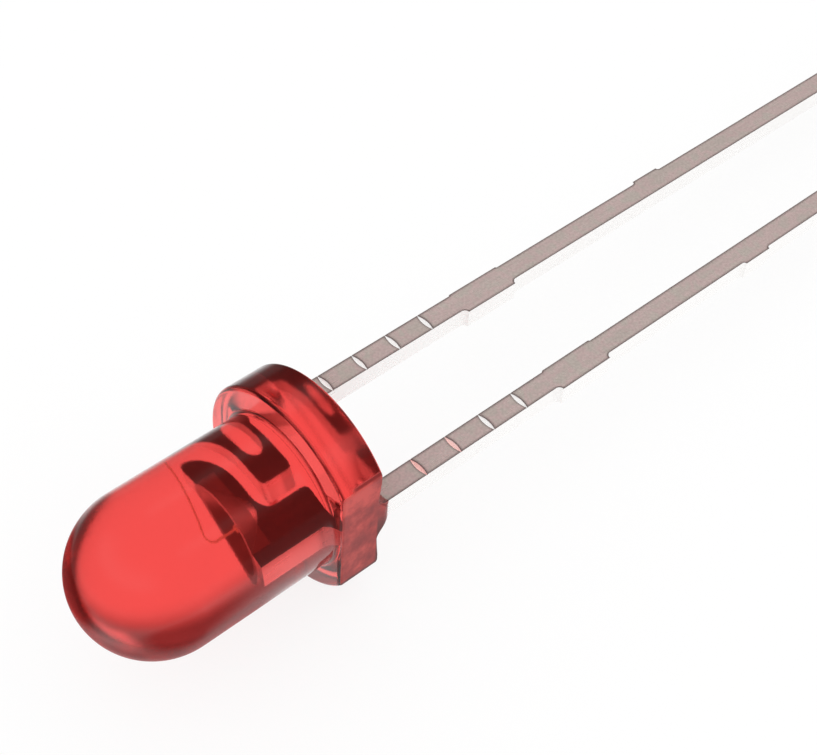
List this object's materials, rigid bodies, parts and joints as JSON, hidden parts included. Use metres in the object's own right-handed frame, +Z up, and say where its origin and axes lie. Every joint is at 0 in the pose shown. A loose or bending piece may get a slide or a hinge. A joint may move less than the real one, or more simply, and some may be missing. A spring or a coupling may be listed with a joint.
{
  "type": "through hole led",
  "caption": "Through-hole round LED, 3 mm: red-tinted clear epoxy dome with a flange and cathode flat, cast round a stamped lead frame with its reflector cup, die and bond wire.",
  "frame": {"origin": "centre of the flange's back rim, in the rim's plane and midway between the two leads", "axes": "The LED lies at rest, +Z up. The dome points to -Y, 3.9 degrees above level, and the leads run to +Y. The cathode and the flange's flat are on +X. It rests on the flange's back rim and both lead tips."},
  "size_m": [0.0036, 0.0317, 0.0041],
  "materials": {
    "red_epoxy": "cast epoxy resin, tinted red and clear, glossy",
    "plated_steel": "stamped steel sheet with a satin silver and tin plating",
    "die": "sawn semiconductor die",
    "silver_epoxy": "silver-filled epoxy, dull",
    "gold": "drawn gold wire"
  },
  "bodies": {
    "root": {"epoxy_body": "red_epoxy", "cathode_lead": "plated_steel", "anode_lead": "plated_steel", "led_die": "die", "die_attach": "silver_epoxy", "bond_wire": "gold"}
  },
  "joints": []
}
